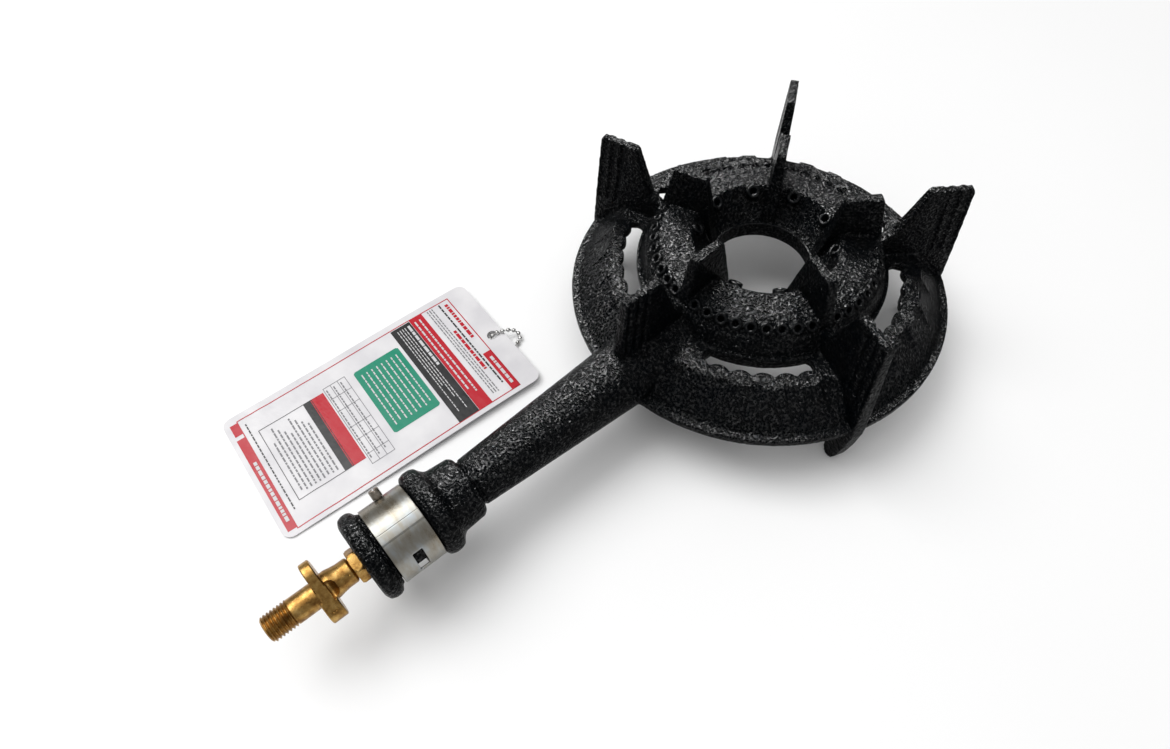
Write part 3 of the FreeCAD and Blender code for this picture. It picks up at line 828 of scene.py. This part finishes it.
def tag_prints():
    dice = random.Random(11)
    red = Print("tag_print_red", 0.10)
    black = Print("tag_print_black", 0.14)
    green = Print("tag_print_green", 0.10)
    white = Print("tag_print_white", 0.22)
    grey = Print("tag_print_grey", 0.12)
    red.frame(-249.0, -119.5, 46.0, 120.5, 0.55)
    red.patch(-253.4, -248.6, 47.0, 109.0)
    red.patch(-253.0, -248.6, 111.5, 119.5)
    white.dashes(dice, -251.8, 1.7, 52.0, 92.0, 3.5)
    # rows of dashes at the hole's end
    red.patch(-124.6, -119.6, 46.2, 75.0)
    white.dashes(dice, -122.9, 1.6, 50.0, 71.0, 4.0)
    red.dashes(dice, -123.6, 1.9, 88.0, 117.0, 4.5)
    black.dashes(dice, -126.6, 0.9, 52.0, 119.0, 4.0)
    red.dashes(dice, -129.3, 1.7, 66.0, 98.0, 5.0)
    for i in range(3):
        grey.dashes(dice, -131.0 - 1.5 * i, 0.6, 50.0, 119.0, 3.5)
    # red strip and black band
    red.patch(-145.0, -137.0, 46.4, 120.0)
    white.dashes(dice, -140.3, 0.9, 56.0, 117.0, 4.0)
    white.dashes(dice, -143.2, 0.9, 60.0, 117.0, 4.0)
    black.patch(-157.2, -145.2, 46.4, 119.4)
    white.dashes(dice, -147.8, 1.5, 84.0, 117.0, 5.0)
    for i in range(4):
        white.dashes(dice, -149.6 - 1.5 * i, 0.45, 52.0 + 9.0 * (i % 3), 117.0, 3.5)
    # a plain green block ruled with even rows of dashes
    green.patch(-186.5, -159.0, 62.0, 108.5, 1.0)
    for i in range(8):
        white.dashes(dice, -162.5 - 3.0 * i, 0.7, 66.0, 104.5, 4.0)
    # table of thin rules
    for x in (-204.0, -199.8, -195.6, -191.2):
        grey.patch(x, x + 0.3, 54.0, 110.0)
    for y in (54.0, 60.5, 71.0, 79.5, 92.0, 101.0, 109.7):
        grey.patch(-204.0, -191.0, y, y + 0.3)
    for x in (-203.0, -198.8, -194.6):
        grey.dashes(dice, x, 0.7, 57.0, 108.0, 2.5)
    # a ruled box under two plain strips
    black.frame(-242.0, -211.6, 59.0, 108.0, 0.35)
    red.patch(-212.4, -204.8, 59.0, 108.0)
    black.patch(-216.6, -212.4, 59.0, 108.0)
    for i in range(9):
        grey.dashes(dice, -219.6 - 2.4 * i, 0.85, 62.0, 96.0 + 3.0 * (i % 4), 3.5)
    black.dashes(dice, -246.0, 0.7, 56.0, 116.0, 3.0)
    inks = {red: (0.44, 0.0, 0.012), black: (0.010, 0.010, 0.011), green: (0.0, 0.22, 0.13),
            white: (0.56, 0.56, 0.57), grey: (0.16, 0.16, 0.17)}
    for patches, colour in inks.items():
        patches.done(ink(patches.name, colour))


def dress_nodes():
    """Materials for the nodes that are shown as CAD made them, and the finer pieces."""
    metal = brass()
    mesh = NODES["injector_jet"].data
    mesh.materials.clear()
    mesh.materials.append(metal)
    inlet_body(metal)
    inlet_thread(metal)
    hexagon_nut(metal)
    shutter_piece(zinc())
    screw_piece(dull_steel())
    chain_pieces(chain_steel())
    tag_sheet(card())
    tag_prints()


# ------------------------------------------------------- floor, lights, camera

def floor():
    bpy.ops.mesh.primitive_plane_add(size=6.0, location=(0, 0, -0.0002))
    plane = bpy.context.object
    plane.name = "floor"
    plane.data.materials.append(floor_finish())


LIT_POINT = Vector((-0.07, 0.02, 0.03))


def area_light(name, direction, distance, size, power):
    """A soft light that shines at the burner from a direction."""
    data = bpy.data.lights.new(name, "AREA")
    data.shape = "DISK"
    data.size = size
    data.energy = power
    obj = bpy.data.objects.new(name, data)
    way = Vector(direction).normalized()
    obj.location = LIT_POINT + way * distance
    obj.rotation_mode = "QUATERNION"
    obj.rotation_quaternion = way.to_track_quat("Z", "Y")
    bpy.context.scene.collection.objects.link(obj)
    return obj


def glint_on(pieces, light):
    """Let a light show only as glints, and only on the casting's pieces."""
    light.visible_diffuse = False
    group = bpy.data.collections.new(light.name + "_pieces")
    for piece in pieces:
        group.objects.link(piece)
    light.light_linking.receiver_collection = group


def lights(painted):
    area_light("key_light", (-0.30, 0.5, 1.0), 2.0, 1.5, 20.0)
    area_light("top_light", (-0.1, 0.1, 1.0), 2.4, 2.8, 30.0)
    glint_on(painted, area_light("glint_back", (0.35, 0.62, 0.70), 2.0, 0.6, 210.0))
    glint_on(painted, area_light("glint_left", (-0.25, 0.75, 0.62), 2.0, 0.5, 85.0))
    glint_on(painted, area_light("glint_front", (-0.2, -0.9, 0.5), 1.8, 0.9, 14.0))
    glint_on(painted, area_light("glint_right", (0.62, 0.3, 0.75), 2.0, 0.4, 60.0))
    world = bpy.data.worlds.new("studio")
    world.use_nodes = True
    background = world.node_tree.nodes["Background"]
    background.inputs["Color"].default_value = (1.0, 1.0, 1.0, 1.0)
    background.inputs["Strength"].default_value = 0.42
    bpy.context.scene.world = world
    bpy.context.scene.view_settings.view_transform = "Standard"


LENS = 23.17
SHIFT = (0.0038, 0.0099)
CAMERA_PLACE = Vector((-0.22587, -0.14694, 0.33439))
CAMERA_LOOK = Vector((0.32454, 0.43674, -0.83901))
ROLL = -3.54


def camera():
    data = bpy.data.cameras.new("camera")
    data.lens = LENS
    data.sensor_width = 36.0
    data.shift_x, data.shift_y = SHIFT
    data.clip_start = 0.01
    obj = bpy.data.objects.new("camera", data)
    roll = Matrix.Rotation(math.radians(ROLL), 4, "Z")
    turn = CAMERA_LOOK.to_track_quat("-Z", "Y").to_matrix().to_4x4() @ roll
    obj.matrix_world = Matrix.Translation(CAMERA_PLACE) @ turn
    bpy.context.scene.collection.objects.link(obj)
    bpy.context.scene.camera = obj


painted_pieces = casting()
dress_nodes()
floor()
lights(painted_pieces)
camera()
